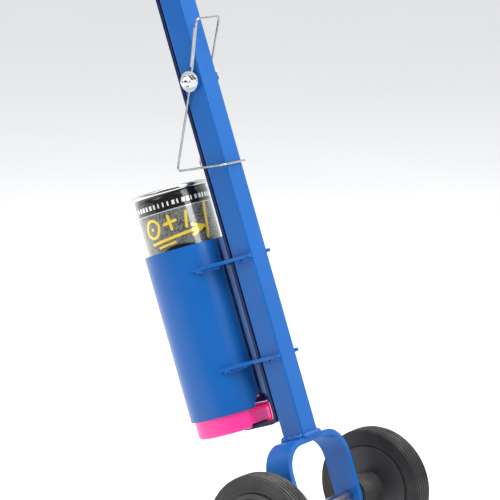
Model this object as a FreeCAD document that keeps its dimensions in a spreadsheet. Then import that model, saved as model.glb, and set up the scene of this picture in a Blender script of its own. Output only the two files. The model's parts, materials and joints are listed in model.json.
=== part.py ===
import FreeCAD, Part

import math
import os
import re

import Sketcher

# A hand-held line striping machine: a square handle tube that leans back over an inverted
# aerosol can, a pull bar that lifts the can's spray tab, and two wheels under an arch.
#
# Two sets of axes are used. The machine's own frame has +X forward, +Y to the left and +Z up,
# with its origin at the middle of the hand grip. The tube's frame has the same Y, its Z runs up
# the middle of the handle tube, its X points out of the tube's front face, and its origin is the
# middle of the wheel axle. Most pieces are drawn in the tube's frame and then leant back.

SIZES = {
    "lean": 19.8,               # degrees between the handle tube and the vertical
    # handle tube
    "tube_side": 22.0,
    "tube_wall": 1.2,
    "tube_corner": 1.6,
    "tube_low": 64.0,           # the tube's cut lower end
    "tube_high": 896.0,
    "cap_thick": 3.0,
    "cap_plug": 12.0,
    # hand grip
    "grip_rise": 868.0,         # where the grip's axis meets the tube's axis
    "grip_tube_radius": 11.0,
    "grip_tube_wall": 2.0,
    "grip_tube_long": 160.0,
    "grip_radius": 16.0,
    "grip_from": 44.0,          # the rubber sleeve's start and end, from the tube's axis
    "grip_to": 168.0,
    "grip_flange": 19.5,
    "grip_flange_thick": 4.0,
    # pull bar
    "bar_width": 20.0,
    "bar_thick": 3.0,
    "bar_gap": 1.4,             # between the bar and the tube's rear face
    "bar_lift": 5.0,
    "foot_low": 80.4,
    "foot_end": 52.0,
    "bend_outer": 8.0,
    "eye_radius": 5.0,
    "pad_thick": 1.5,
    "pad_long": 15.0,
    # trigger
    "pivot_rise": 815.0,
    "pivot_radius": 3.0,
    "pin_arm": 17.0,            # from the trigger's pivot back to the clevis pin
    "pin_radius": 2.5,
    "cheek_inner": 11.5,
    "cheek_thick": 2.0,
    "trigger_front": 9.0,       # ahead of the pivot
    "trigger_over": 8.0,        # above the pivot
    "trigger_heel": 17.0,       # below the pivot
    "trigger_neck": 36.0,       # where the heel runs into the lever, behind the pivot
    "trigger_mid": 75.0,
    "trigger_reach": 138.0,     # the lever's curled end, behind the pivot
    "trigger_curl": 27.0,
    "trigger_roof": 2.0,        # the web between the cheeks
    # bolts, nuts and washers
    "nut_across": 10.0,
    "nut_thick": 5.0,
    "head_thick": 4.0,
    "flat_washer": 1.2,
    "flat_washer_radius": 6.0,
    "shim_washer": 0.35,
    "cheek_play": 0.3,
    # return spring
    "spring_drop": 72.0,        # from the trigger's pivot down to the spring's screw
    "spring_back": 17.0,
    "spring_side": 17.4,
    "spring_radius": 3.4,
    "spring_wire": 0.5,
    "spring_turns": 26.0,
    # pull-bar guides
    "guide_low": 500.0,
    "guide_high": 705.0,
    "guide_tall": 16.0,
    "guide_thick": 1.5,
    "guide_front": 5.0,
    "rivet_radius": 3.2,
    # can holder
    "holder_radius": 37.0,
    "holder_wall": 2.0,
    "holder_back": 66.5,        # from the tube's axis back to the holder's axis
    "holder_low": 98.5,
    "holder_high": 248.5,
    "slot_width": 4.0,
    "notch_radius": 10.5,
    "stop_low": 106.1,
    "stop_thick": 2.0,
    "stop_reach": 30.5,         # the stops' inner radius
    "stop_width": 8.0,
    # bracket plates
    "plate_thick": 3.0,
    "plate_low": 137.0,
    "plate_high": 226.0,
    "plate_front": 11.5,
    "plate_arm": 17.0,
    "plate_knee": 15.0,
    "plate_tip": 31.0,
    "plate_tip_back": 46.3,
    "plate_slot": 16.4,         # the slot's bottom, behind the tube's axis
    # axle arch
    "arch_half": 45.0,
    "arch_thick": 5.0,
    "arch_width": 25.0,
    "arch_bend": 26.0,
    "arch_tip": 12.5,           # the legs' ends, below the axle
    # axle and wheels
    "axle_radius": 6.0,
    "axle_half": 101.0,
    "washer_radius": 12.0,
    "washer_thick": 1.5,
    "wheel_radius": 52.0,
    "wheel_near": 74.0,         # the tyre's inner face, from the middle of the axle
    "wheel_wide": 20.0,
    "rim_radius": 37.0,
    "boss_radius": 15.0,
    "boss_near": 46.8,
    "boss_far": 95.2,
    "bush_radius": 8.5,
    "running_gap": 0.05,
    "dust_cap_radius": 10.0,
    # bail and its bolt
    "bolt_rise": 383.0,
    "bolt_radius": 3.0,
    "bail_wire": 1.0,
    "bail_bend": 3.0,
    "bail_play": 0.15,
    "bail_leave": 13.0,         # where the wire leaves its eye, from the bolt
    "bail_lap": 47.0,           # where the doubled wire ends, from the bolt
    "bail_washer_radius": 9.0,
    "dome_radius": 4.9,
    "bail_side": 16.0,
    "bail_eye_side": 13.35,
    "bail_back": 39.0,
    "bail_low": 313.0,
    "bail_front": 12.3,
    "bail_front_low": 306.0,
    "loop_front": 26.7,
    "loop_high": 431.0,
    # aerosol can, upside down
    "can_radius": 33.0,
    "can_wall": 0.8,
    "can_low": 113.0,
    "can_high": 298.0,
    "seam_radius": 33.9,
    "seam_tall": 4.0,
    "base_hollow": 9.0,
    "cone_radius": 28.0,
    "cone_low": 105.0,
    "neck_radius": 15.6,
    "neck_low": 101.0,
    "cup_low": 96.2,
    "stem_radius": 2.0,
    "stem_low": 89.6,
    "ball_radius": 4.5,
    # spray cap and its tab
    "cover_radius": 34.0,
    "cover_wall": 1.8,
    "cover_low": 82.0,
    "cover_high": 98.4,
    "cover_corner": 3.2,
    "cover_roof": 1.8,
    "snap_radius": 18.2,
    "window_half": 15.0,
    "window_back": 28.0,
    "window_high": 96.2,
    "tab_half": 14.0,
    "tab_low": 85.2,
    "tab_thick": 2.6,
    "tab_front": 32.0,
    "tab_hinge_back": 26.0,
    "tab_wall": 5.0,            # the tab's front wall, which closes the channel
    "tab_wall_high": 95.4,
    "tab_boss": 5.5,
    "nozzle_radius": 3.5,
}

doc = FreeCAD.newDocument("line_striping_machine")
sheet = doc.addObject("Spreadsheet::Sheet", "Sizes")
for row, (alias, value) in enumerate(SIZES.items(), start=1):
    sheet.set(f"A{row}", alias)
    sheet.set(f"B{row}", str(value))
    sheet.setAlias(f"B{row}", alias)
doc.recompute()

ALONG_Y = (FreeCAD.Vector(1, 0, 0), -90)
PLAIN = (FreeCAD.Vector(0, 0, 1), 0)
BOTH_SIDES = {"left": 1, "right": -1}


def size(alias):
    return sheet.get(alias)


def bound(formula):
    """The formula with each of the sheet's words written as a reference to its cell."""
    return re.sub(r"[a-z][a-z_]+", lambda m: "Sizes." + m[0] if m[0] in SIZES else m[0], formula)


# ---- frames -------------------------------------------------------------------------------

leaning = FreeCAD.Rotation(FreeCAD.Vector(0, 1, 0), -size("lean"))
grip_middle = (size("grip_from") + size("grip_flange_thick") + size("grip_to")) / 2
grip_centre = leaning.multVec(FreeCAD.Vector(0, 0, size("grip_rise"))) - FreeCAD.Vector(grip_middle, 0, 0)
TUBE_FRAME = FreeCAD.Placement(-grip_centre, leaning)
CAN_FRAME = TUBE_FRAME * FreeCAD.Placement(FreeCAD.Vector(-size("holder_back"), 0, 0), FreeCAD.Rotation())


def level_frame(rise):
    """A frame whose axes are level, at a height up the handle tube's axis."""
    return FreeCAD.Placement(TUBE_FRAME.multVec(FreeCAD.Vector(0, 0, rise)), FreeCAD.Rotation())


# ---- ways of making a piece ---------------------------------------------------------------

def primitive(kind, name, at=("0", "0", "0"), turn=PLAIN, **formulas):
    """A Part primitive whose sizes and position are formulas in the sheet's words."""
    shape = doc.addObject(f"Part::{kind}", name)
    shape.Placement = FreeCAD.Placement(FreeCAD.Vector(), FreeCAD.Rotation(*turn))
    for prop, formula in formulas.items():
        shape.setExpression(prop, bound(formula))
    for axis, formula in zip("xyz", at):
        shape.setExpression(f"Placement.Base.{axis}", bound(formula))
    return shape


def rod(name, at, turn, radius, length):
    return primitive("Cylinder", name, at, turn, Radius=radius, Height=length)


def block(name, at, length, width, height):
    return primitive("Box", name, at, Length=length, Width=width, Height=height)


def joined(name, *pieces):
    fuse = doc.addObject("Part::MultiFuse", name)
    fuse.Shapes = list(pieces)
    return fuse


def cut(name, base, *tools):
    result = doc.addObject("Part::Cut", name)
    result.Base = base
    result.Tool = tools[0] if len(tools) == 1 else joined(name + "_tools", *tools)
    return result


def grouped(name, *pieces):
    group = doc.addObject("Part::Compound", name)
    group.Links = list(pieces)
    return group


def tube_of(name, at, turn, outer, inner, length):
    """A round sleeve: a cylinder with a cylinder taken out of it."""
    return cut(name, rod(name + "_outer", at, turn, outer, length),
               rod(name + "_inner", at, turn, inner, length))


def outline(body, name, plane, corners):
    """A closed sketch of straight edges, each corner held by two formulas."""
    sketch = body.newObject("Sketcher::SketchObject", name)
    origin_plane = next(f for f in body.Origin.OriginFeatures if f.Role == plane)
    sketch.AttachmentSupport = [(origin_plane, "")]
    sketch.MapMode = "FlatFace"
    count = len(corners)
    spread = 2 * math.pi / count
    start = [FreeCAD.Vector(10 * math.cos(k * spread), 10 * math.sin(k * spread), 0) for k in range(count)]
    for k in range(count):
        sketch.addGeometry(Part.LineSegment(start[k], start[(k + 1) % count]), False)
    for k in range(count):
        sketch.addConstraint(Sketcher.Constraint("Coincident", k, 2, (k + 1) % count, 1))
    for k, corner in enumerate(corners):
        for kind, first, formula in zip(("DistanceX", "DistanceY"), start[k], corner):
            index = sketch.addConstraint(Sketcher.Constraint(kind, k, 1, first))
            sketch.setExpression(f"Constraints[{index}]", bound(formula))
    return sketch


def padded(name, plane, corners, depth):
    """A body: an outline made into a plate, half its depth each side of the plane."""
    body = doc.addObject("PartDesign::Body", name)
    pad = body.newObject("PartDesign::Pad", name + "_pad")
    pad.Profile = outline(body, name + "_sketch", plane, corners)
    pad.SideType = "Symmetric"
    pad.setExpression("Length", bound(depth))
    doc.recompute()
    return body


def turned(name, corners):
    """A body: an outline of radius and height turned about the upright axis."""
    body = doc.addObject("PartDesign::Body", name)
    sketch = outline(body, name + "_sketch", "XZ_Plane", corners)
    spin = body.newObject("PartDesign::Revolution", name + "_turn")
    spin.Profile = sketch
    spin.ReferenceAxis = (sketch, ["V_Axis"])
    doc.recompute()
    return body


def pocketed(body, name, plane, corners, depth):
    """Takes an outline out of a body, half the depth each side of the plane."""
    before = body.Shape.Volume
    pocket = body.newObject("PartDesign::Pocket", name)
    pocket.Profile = outline(body, name + "_sketch", plane, corners)
    pocket.SideType = "Symmetric"
    pocket.setExpression("Length", bound(depth))
    doc.recompute()
    if body.Shape.Volume >= before - 1:
        raise RuntimeError(f"{name} cuts nothing")


def rounded(body, name, radius, middles):
    """Rounds the body's edges whose midpoints are nearest to the points given."""
    edges = body.Shape.Edges
    names = []
    for middle in middles:
        target = FreeCAD.Vector(*middle)
        gaps = [(edge.CenterOfMass - target).Length for edge in edges]
        names.append(f"Edge{gaps.index(min(gaps)) + 1}")
    before = body.Tip
    fillet = body.newObject("PartDesign::Fillet", name)
    fillet.Base = (before, names)
    fillet.setExpression("Radius", bound(radius))
    doc.recompute()
    if "Up-to-date" not in fillet.State:
        raise RuntimeError(f"{name} failed: {fillet.getStatusString()}")


nodes = {}


def node(name, piece, frame):
    """Names a finished piece and sets it in the machine's frame."""
    piece.Label = name
    piece.Placement = frame
    nodes[name] = piece
    return piece


def solid_of(name, shape):
    piece = doc.addObject("Part::Feature", name)
    piece.Shape = shape
    return piece


def bent_line(points, bend):
    """A path of straight runs with an arc of the given radius at each inner point."""
    points = [FreeCAD.Vector(*p) for p in points]
    edges = []
    start = points[0]
    for before, corner, after in zip(points, points[1:], points[2:]):
        way_in = (before - corner).normalize()
        way_out = (after - corner).normalize()
        half = way_in.getAngle(way_out) / 2
        back = bend / math.tan(half)
        first = corner + way_in * back
        last = corner + way_out * back
        to_centre = (way_in + way_out).normalize()
        middle = corner + to_centre * (bend / math.sin(half) - bend)
        edges.append(Part.LineSegment(start, first).toShape())
        edges.append(Part.Arc(first, middle, last).toShape())
        start = last
    edges.append(Part.LineSegment(start, points[-1]).toShape())
    return Part.Wire(edges)


def wire_along(path, radius):
    """Round wire along a path."""
    first = path.Edges[0]
    along = first.tangentAt(first.FirstParameter)
    section = Part.Wire(Part.makeCircle(radius, first.valueAt(first.FirstParameter), along))
    return path.makePipeShell([section], True, False)


# ---- handle tube and its cap --------------------------------------------------------------

def square_bar(name, side, low, high, corner):
    """A square bar up the tube's axis with rounded corners."""
    half = f"({side}) / 2"
    body = doc.addObject("PartDesign::Body", name)
    sketch = outline(body, name + "_sketch", "XY_Plane",
                     [(half, half), (f"-{half}", half), (f"-{half}", f"-{half}"), (half, f"-{half}")])
    sketch.setExpression("AttachmentOffset.Base.z", bound(low))
    pad = body.newObject("PartDesign::Pad", name + "_pad")
    pad.Profile = sketch
    pad.setExpression("Length", bound(f"{high} - ({low})"))
    doc.recompute()
    box = body.Shape.BoundBox
    middle = (box.ZMin + box.ZMax) / 2
    rounded(body, name + "_corners", corner,
            [(x, y, middle) for x in (box.XMin, box.XMax) for y in (box.YMin, box.YMax)])
    return body


def cross_hole(name, rise, radius, back="0"):
    """A cylinder right across the tube, to take a hole out of it."""
    return rod(name, (back, "-tube_side", rise), ALONG_Y, radius, "2 * tube_side")


def make_handle_tube():
    outside = square_bar("tube_outside", "tube_side", "tube_low", "tube_high", "tube_corner")
    inside = square_bar("tube_inside", "tube_side - 2 * tube_wall", "tube_low - 1", "tube_high + 1",
                        "tube_corner - tube_wall")
    tube = cut("handle_tube", outside, inside,
               cross_hole("bail_hole", "bolt_rise", "bolt_radius"),
               cross_hole("pivot_hole", "pivot_rise", "pivot_radius"))
    node("handle_tube", tube, TUBE_FRAME)


def make_tube_cap():
    lid = square_bar("tube_cap_lid", "tube_side", "tube_high", "tube_high + cap_thick", "tube_corner")
    top = lid.Shape.BoundBox
    rounded(lid, "tube_cap_edge", "cap_thick / 2",
            [(x, y, top.ZMax) for x, y in ((top.XMin, 0), (top.XMax, 0), (0, top.YMin), (0, top.YMax))])
    plug = square_bar("tube_cap_plug", "tube_side - 2 * tube_wall - 0.2", "tube_high - cap_plug",
                      "tube_high", "tube_corner - tube_wall")
    node("tube_cap", joined("tube_cap", lid, plug), TUBE_FRAME)


# ---- hand grip ----------------------------------------------------------------------------

def make_grip():
    frame = level_frame(size("grip_rise"))
    back = (FreeCAD.Vector(0, 1, 0), -90)
    tube = tube_of("grip_pipe", ("0", "0", "0"), back, "grip_tube_radius",
                   "grip_tube_radius - grip_tube_wall", "grip_tube_long")
    socket = doc.addObject("Part::Box", "grip_cope")
    for prop in ("Length", "Width"):
        socket.setExpression(prop, bound("tube_side"))
    socket.setExpression("Height", bound("4 * tube_side"))
    corner = FreeCAD.Vector(-size("tube_side") / 2, -size("tube_side") / 2, -2 * size("tube_side"))
    socket.Placement = FreeCAD.Placement(leaning.multVec(corner), leaning)
    node("grip_tube", cut("grip_tube", tube, socket), frame)

    sleeve = rod("sleeve_outer", ("-grip_from", "0", "0"), back, "grip_radius", "grip_to - grip_from")
    flange = rod("sleeve_flange", ("-grip_from", "0", "0"), back, "grip_flange", "grip_flange_thick")
    hollow = rod("sleeve_hollow", ("-grip_from", "0", "0"), back, "grip_tube_radius",
                 "grip_tube_long - grip_from")
    node("rubber_grip", cut("rubber_grip", joined("sleeve_solid", sleeve, flange), hollow), frame)


# ---- pull bar, foot pad, clevis pin and clip ----------------------------------------------

BAR_FRONT = "tube_side / 2 + bar_gap"
BAR_REAR = "tube_side / 2 + bar_gap + bar_thick"
EYE_RISE = "pivot_rise - bar_lift / 2"


def make_pull_bar():
    bar = padded("bar_body", "XZ_Plane", [
        (f"-({BAR_FRONT})", EYE_RISE),
        (f"-({BAR_FRONT})", "foot_low"),
        ("-foot_end", "foot_low"),
        ("-foot_end", "foot_low + bar_thick"),
        (f"-({BAR_REAR})", "foot_low + bar_thick"),
        (f"-({BAR_REAR})", EYE_RISE)], "bar_width")
    front = -(size("tube_side") / 2 + size("bar_gap"))
    foot, thick, end = size("foot_low"), size("bar_thick"), -size("foot_end")
    rounded(bar, "bar_bend_outer", "bend_outer", [(front, 0, foot)])
    rounded(bar, "bar_bend_inner", "bend_outer - bar_thick", [(front - thick, 0, foot + thick)])
    rounded(bar, "bar_foot_end", "bar_width / 5",
            [(end, side * size("bar_width") / 2, foot + thick / 2) for side in (1, -1)])
    half = "bar_width / 2"
    eye = rod("bar_eye", ("-pin_arm", f"-{half}", EYE_RISE), ALONG_Y, "eye_radius", "bar_width")
    hole = rod("bar_eye_hole", ("-pin_arm", "-bar_width", EYE_RISE), ALONG_Y,
               "pin_radius", "2 * bar_width")
    node("pull_bar", cut("pull_bar", joined("bar_with_eye", bar, eye), hole), TUBE_FRAME)


def make_foot_pad():
    pad = block("foot_pad", ("-foot_end + 0.5", "-bar_width / 2 + 2", "foot_low + bar_thick"),
                "pad_long", "bar_width - 4", "pad_thick")
    node("foot_pad", grouped("foot_pad_group", pad), TUBE_FRAME)


def make_clevis_pin():
    outside = "cheek_inner + cheek_thick"
    shank = rod("clevis_shank", ("-pin_arm", f"-({outside} + 0.5)", EYE_RISE), ALONG_Y,
                "pin_radius", f"2 * ({outside}) + 7.5")
    head = rod("clevis_head", ("-pin_arm", f"-({outside} + 2.3)", EYE_RISE), ALONG_Y,
               "pin_radius + 1.8", "2")
    node("clevis_pin", joined("clevis_pin", shank, head), TUBE_FRAME)
    clip = tube_of("clevis_clip", ("-pin_arm", f"{outside} + 0.5", EYE_RISE), ALONG_Y,
                   "pin_radius + 2.2", "pin_radius", "1")
    node("clevis_clip", clip, TUBE_FRAME)


# ---- trigger ------------------------------------------------------------------------------

def make_trigger():
    """A channel: two cheeks beside the tube, joined by a web under the fingers."""
    lever = padded("trigger_body", "XZ_Plane", [
        ("trigger_front", "1 - trigger_over"), ("trigger_front", "trigger_over"),
        ("6 - trigger_neck", "trigger_over + 1"), ("-trigger_mid", "trigger_over - 3"),
        ("8 - trigger_reach", "-6"), ("-trigger_reach", "7 - trigger_curl"),
        ("2 - trigger_reach", "-trigger_curl"), ("9 - trigger_reach", "1 - trigger_curl"),
        ("20 - trigger_reach", "7 - trigger_curl"), ("-trigger_mid", "-(9 + trigger_roof)"),
        ("-trigger_neck", "-(8 + trigger_roof)"), ("12 - trigger_neck", "-trigger_heel"),
        ("-trigger_front", "-trigger_heel")], "2 * (cheek_inner + cheek_thick)")
    front, heel, neck = size("trigger_front"), size("trigger_heel"), size("trigger_neck")
    over, reach, curl = size("trigger_over"), size("trigger_reach"), size("trigger_curl")
    rounded(lever, "trigger_nose", "5",
            [(front, 0, 1 - over), (front, 0, over), (12 - neck, 0, -heel), (-front, 0, -heel)])
    rounded(lever, "trigger_back", "3",
            [(2 - reach, 0, -curl), (9 - reach, 0, 1 - curl), (-reach, 0, 7 - curl), (8 - reach, 0, -6)])
    # The channel is open in front of the pivot and above the web.
    pocketed(lever, "trigger_channel", "XZ_Plane", [
        ("2 * trigger_front + 2", "20"), ("10 - trigger_reach", "20"),
        ("7 - trigger_reach", "8 - trigger_curl"), ("20 - trigger_reach", "9.2 - trigger_curl"),
        ("-trigger_mid", "-9"), ("-(trigger_neck + 1)", "-8"), ("4 - trigger_neck", "-40"),
        ("2 * trigger_front + 2", "-40")], "2 * cheek_inner")
    swing = math.radians(size("lean"))
    drop = size("bar_lift") / 2
    pin_x = -size("pin_arm") * math.cos(swing) + drop * math.sin(swing)
    pin_z = -size("pin_arm") * math.sin(swing) - drop * math.cos(swing)
    width = "4 * cheek_inner"
    pivot = rod("trigger_pivot_hole", ("0", "-2 * cheek_inner", "0"), ALONG_Y,
                "pivot_radius + running_gap", width)
    slot = rod("trigger_pin_hole", (str(round(pin_x, 4)), "-2 * cheek_inner", str(round(pin_z, 4))),
               ALONG_Y, "pin_radius + 4 * running_gap", width)
    node("trigger_lever", cut("trigger_lever", lever, pivot, slot), level_frame(size("pivot_rise")))


def hex_nut(name, back, side, rise, thick):
    """A hexagon across the machine; side is where it starts."""
    nut = doc.addObject("Part::Prism", name)
    nut.Polygon = 6
    nut.Placement = FreeCAD.Placement(FreeCAD.Vector(), FreeCAD.Rotation(*ALONG_Y))
    nut.setExpression("Circumradius", bound("nut_across / sqrt(3)"))
    nut.setExpression("Height", bound(thick))
    for axis, formula in zip("xyz", (back, side, rise)):
        nut.setExpression(f"Placement.Base.{axis}", bound(formula))
    return nut


def make_trigger_bolt():
    outside = "cheek_inner + cheek_thick + cheek_play"
    shank = rod("trigger_shank", ("0", f"-({outside} + flat_washer)", "pivot_rise"), ALONG_Y,
                "pivot_radius", f"2 * ({outside} + flat_washer) + nut_thick + 2")
    head = hex_nut("trigger_head", "0", f"-({outside} + flat_washer + head_thick)", "pivot_rise",
                   "head_thick")
    node("trigger_bolt", joined("trigger_bolt", shank, head), TUBE_FRAME)
    nut = cut("trigger_nut",
              hex_nut("trigger_nut_hex", "0", f"{outside} + flat_washer", "pivot_rise", "nut_thick"),
              cross_hole("trigger_nut_hole", "pivot_rise", "pivot_radius"))
    node("trigger_nut", nut, TUBE_FRAME)
    washers = [tube_of(f"trigger_washer_{k}", ("0", side, "pivot_rise"), ALONG_Y,
                       "flat_washer_radius", "pivot_radius", thick)
               for k, (side, thick) in enumerate([
                   (f"-({outside} + flat_washer)", "flat_washer"), (outside, "flat_washer"),
                   ("-(tube_side / 2 + shim_washer)", "shim_washer"), ("tube_side / 2", "shim_washer")])]
    node("trigger_washers", grouped("trigger_washers", *washers), TUBE_FRAME)


# ---- return spring ------------------------------------------------------------------------

def make_spring():
    side, radius, wire = size("spring_side"), size("spring_radius"), size("spring_wire")
    top = FreeCAD.Vector(-size("pin_arm"), side, size("pivot_rise") - size("bar_lift") / 2)
    low = FreeCAD.Vector(-size("spring_back"), side, size("pivot_rise") - size("spring_drop"))
    ring = size("pin_radius") + wire + 0.1
    pitch = 2.1 * wire
    coil_long = pitch * size("spring_turns")
    middle = (top + low) / 2
    coil = Part.makeHelix(pitch, coil_long, radius)
    section = Part.Wire(Part.makeCircle(wire, FreeCAD.Vector(radius, 0, 0), FreeCAD.Vector(0, 1, 0)))
    coil = Part.Wire(coil.Edges).makePipeShell([section], True, True)
    coil.translate(middle - FreeCAD.Vector(0, 0, coil_long / 2))
    pieces = [coil]
    for centre, way in ((top, -1), (low, 1)):
        pieces.append(Part.makeTorus(ring, wire, centre, FreeCAD.Vector(0, 1, 0)))
        start = centre + FreeCAD.Vector(0, 0, way * ring)
        end = middle - FreeCAD.Vector(0, 0, way * (coil_long / 2 + wire))
        edge = end + FreeCAD.Vector(radius, 0, way * wire)
        path = bent_line([start, end - FreeCAD.Vector(0, 0, way * radius), edge], radius / 3)
        pieces.append(wire_along(path, wire))
    node("return_spring", solid_of("return_spring", pieces[0].multiFuse(pieces[1:])), TUBE_FRAME)


def make_spring_screw():
    """A shouldered screw in a lug that stands back from the tube's side."""
    rise = "pivot_rise - spring_drop"
    lug = block("spring_lug_plate", ("-spring_back - 4", "tube_side / 2", f"{rise} - 5"),
                "spring_back + 10", "2", "10")
    shank = rod("spring_shank", ("-spring_back", "tube_side / 2 + 2", rise), ALONG_Y,
                "pin_radius", "7")
    head = rod("spring_head", ("-spring_back", "tube_side / 2 + 9", rise), ALONG_Y,
               "pin_radius + 1.6", "1.6")
    node("spring_lug", grouped("spring_lug", lug), TUBE_FRAME)
    node("spring_screw", joined("spring_screw", shank, head), TUBE_FRAME)


# ---- pull-bar guides ----------------------------------------------------------------------

def make_guides():
    """Straps round the tube's sides that keep the bar beside its rear face."""
    for name, rise in (("lower_guide", "guide_low"), ("upper_guide", "guide_high")):
        back = f"{BAR_REAR} + 0.6"
        outer = block(name + "_outer", (f"-({back} + guide_thick)", "-(tube_side / 2 + guide_thick)", rise),
                      f"guide_front + {back} + guide_thick", "tube_side + 2 * guide_thick", "guide_tall")
        inner = block(name + "_inner", (f"-({back})", "-tube_side / 2", f"{rise} - 1"),
                      f"guide_front + {back} + 1", "tube_side", "guide_tall + 2")
        node(name, cut(name, outer, inner), TUBE_FRAME)
    rivets = []
    for rise in ("guide_low", "guide_high"):
        for sign, turn in ((1, -90), (-1, 90)):
            at = ("-2", f"{sign} * (tube_side / 2 + guide_thick)", f"{rise} + guide_tall / 2")
            rivets.append(primitive("Cone", "guide_rivet", at, (FreeCAD.Vector(1, 0, 0), turn),
                                    Radius1="rivet_radius", Radius2="rivet_radius / 2", Height="1.4"))
    node("guide_rivets", grouped("guide_rivets", *rivets), TUBE_FRAME)


# ---- can holder, stops and bracket plates -------------------------------------------------

def make_holder():
    height = "holder_high - holder_low"
    wall = tube_of("holder_wall_tube", ("0", "0", "holder_low"), PLAIN, "holder_radius",
                   "holder_radius - holder_wall", height)
    slot = block("holder_slot", ("0", "-slot_width / 2", "holder_low - 1"), "2 * holder_radius",
                 "slot_width", f"{height} + 2")
    notch = rod("holder_notch", ("0", "0", "holder_low"), (FreeCAD.Vector(0, 1, 0), 90),
                "notch_radius", "2 * holder_radius")
    node("can_holder", cut("can_holder", wall, slot, notch), CAN_FRAME)
    ring = tube_of("stop_ring", ("0", "0", "stop_low"), PLAIN, "holder_radius - holder_wall",
                   "stop_reach", "stop_thick")
    arms = []
    for k in range(3):
        arm = block(f"stop_arm_{k}", ("0", "0", "stop_low - 1"), "holder_radius", "stop_width",
                    "stop_thick + 2")
        turn = FreeCAD.Rotation(FreeCAD.Vector(0, 0, 1), 60 + 120 * k)
        offset = turn.multVec(FreeCAD.Vector(0, -size("stop_width") / 2, 0))
        arm.Placement = FreeCAD.Placement(offset, turn)
        arm.setExpression("Placement.Base.z", bound("stop_low - 1"))
        arms.append(arm)
    tabs = doc.addObject("Part::Common", "can_stops")
    tabs.Base = ring
    tabs.Tool = joined("stop_arms", *arms)
    node("can_stops", tabs, CAN_FRAME)


def make_plates():
    """Saddle plates: the rear edge hugs the holder and two arms reach past the tube."""
    half = "tube_side / 2"
    right = [("-plate_tip_back", "plate_tip"), ("-plate_knee", "plate_arm"), ("plate_front", "plate_arm"),
             ("plate_front", half), ("-plate_slot", half)]
    left = [(x, f"-({y})") for x, y in reversed(right)]
    for name, rise in (("lower_bracket_plate", "plate_low"), ("upper_bracket_plate", "plate_high")):
        plate = padded(name + "_body", "XY_Plane", right + left, "plate_thick")
        front, arm, inner = size("plate_front"), size("plate_arm"), size("tube_side") / 2
        rounded(plate, name + "_ends", f"(plate_arm - {half}) / 2 - 0.05",
                [(front, side * y, 0) for side in (1, -1) for y in (arm, inner)])
        rounded(plate, name + "_tips", "2", [(-size("plate_tip_back"), side * size("plate_tip"), 0)
                                            for side in (1, -1)])
        saddle = rod(name + "_saddle", ("-holder_back", "0", "-plate_thick"), PLAIN, "holder_radius",
                     "2 * plate_thick")
        lift = FreeCAD.Placement(FreeCAD.Vector(0, 0, size(rise)), FreeCAD.Rotation())
        node(name, cut(name, plate, saddle), TUBE_FRAME * lift)


# ---- axle arch, axle and wheels -----------------------------------------------------------

def make_arch():
    arch = padded("arch_body", "YZ_Plane", [
        ("arch_half", "-arch_tip"), ("arch_half", "tube_low"), ("-arch_half", "tube_low"),
        ("-arch_half", "-arch_tip"), ("-(arch_half - arch_thick)", "-arch_tip"),
        ("-(arch_half - arch_thick)", "tube_low - arch_thick"),
        ("arch_half - arch_thick", "tube_low - arch_thick"),
        ("arch_half - arch_thick", "-arch_tip")], "arch_width")
    outer, thick, top = size("arch_half"), size("arch_thick"), size("tube_low")
    rounded(arch, "arch_bend_outer", "arch_bend", [(0, side * outer, top) for side in (1, -1)])
    rounded(arch, "arch_bend_inner", "arch_bend - arch_thick",
            [(0, side * (outer - thick), top - thick) for side in (1, -1)])
    rounded(arch, "arch_leg_ends", "arch_width / 2 - 0.2",
            [(front * size("arch_width") / 2, side * (outer - thick / 2), -size("arch_tip"))
             for side in (1, -1) for front in (1, -1)])
    hole = rod("arch_axle_hole", ("0", "-2 * arch_half", "0"), ALONG_Y, "axle_radius", "4 * arch_half")
    node("axle_arch", cut("axle_arch", arch, hole), TUBE_FRAME)


def make_axle():
    node("wheel_axle", grouped("wheel_axle", rod("axle_rod", ("0", "-axle_half", "0"), ALONG_Y,
                                                "axle_radius", "2 * axle_half")), TUBE_FRAME)
    starts = ("arch_half", "boss_far + 0.3")
    washers = []
    for start in starts:
        for sign, at in ((1, start), (-1, f"-({start} + washer_thick)")):
            washers.append(tube_of("axle_washer", ("0", at, "0"), ALONG_Y, "washer_radius", "axle_radius",
                                   "washer_thick"))
    node("axle_washers", grouped("axle_washers", *washers), TUBE_FRAME)
    for side, sign in BOTH_SIDES.items():
        start = "boss_far + 0.3 + washer_thick"
        turn = (FreeCAD.Vector(1, 0, 0), -90 * sign)
        name = side + "_dust_cap"
        shell = rod(name + "_shell", ("0", f"{sign} * ({start})", "0"), turn, "dust_cap_radius",
                    f"axle_half + 2 - ({start})")
        crown = primitive("Sphere", name + "_crown", ("0", f"{sign} * (axle_half - 6)", "0"),
                          Radius="dust_cap_radius + 1.5")
        whole = doc.addObject("Part::Common", name + "_whole")
        whole.Base = shell
        whole.Tool = crown
        hollow = rod(name + "_hollow", ("0", "-axle_half", "0"), ALONG_Y, "axle_radius", "2 * axle_half")
        node(name, cut(name, whole, hollow), TUBE_FRAME)


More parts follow.
